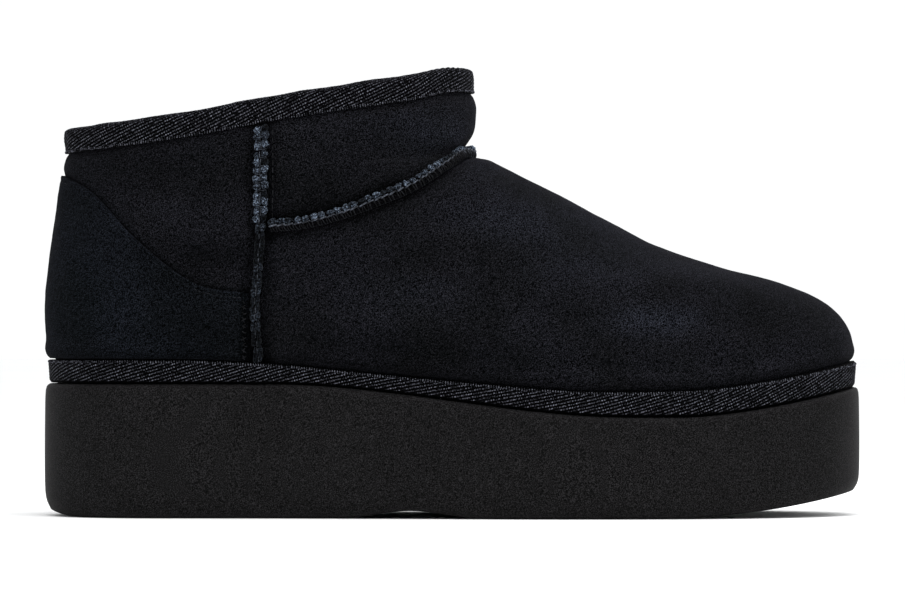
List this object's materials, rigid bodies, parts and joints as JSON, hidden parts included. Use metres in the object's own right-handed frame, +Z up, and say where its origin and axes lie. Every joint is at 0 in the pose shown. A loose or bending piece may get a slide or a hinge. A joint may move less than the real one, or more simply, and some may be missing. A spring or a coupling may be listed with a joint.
{
  "type": "sheepskin ankle boot",
  "caption": "Low sheepskin ankle boot on a thick foam platform, with a taped collar, heel counter and raised side and instep seams.",
  "frame": {"origin": "on the ground, under the middle of the boot's length and width", "axes": "+X to the toe, +Y to the inner side of the foot, +Z up"},
  "size_m": [0.2754, 0.1028, 0.15],
  "materials": {
    "foam": "matt moulded foam, warm black",
    "wool": "dense black fleece",
    "suede": "napped black suede",
    "counter_suede": "smoother black suede with a raw edge",
    "tape": "black twill tape",
    "thread": "blue-black wrapped stitching"
  },
  "bodies": {
    "root": {"sole": "foam", "insole": "wool", "upper": "suede", "heel_counter": "counter_suede", "collar_binding": "tape", "sole_binding": "tape", "side_seam_outer": "thread", "side_seam_inner": "thread", "vamp_seam": "thread"}
  },
  "joints": []
}
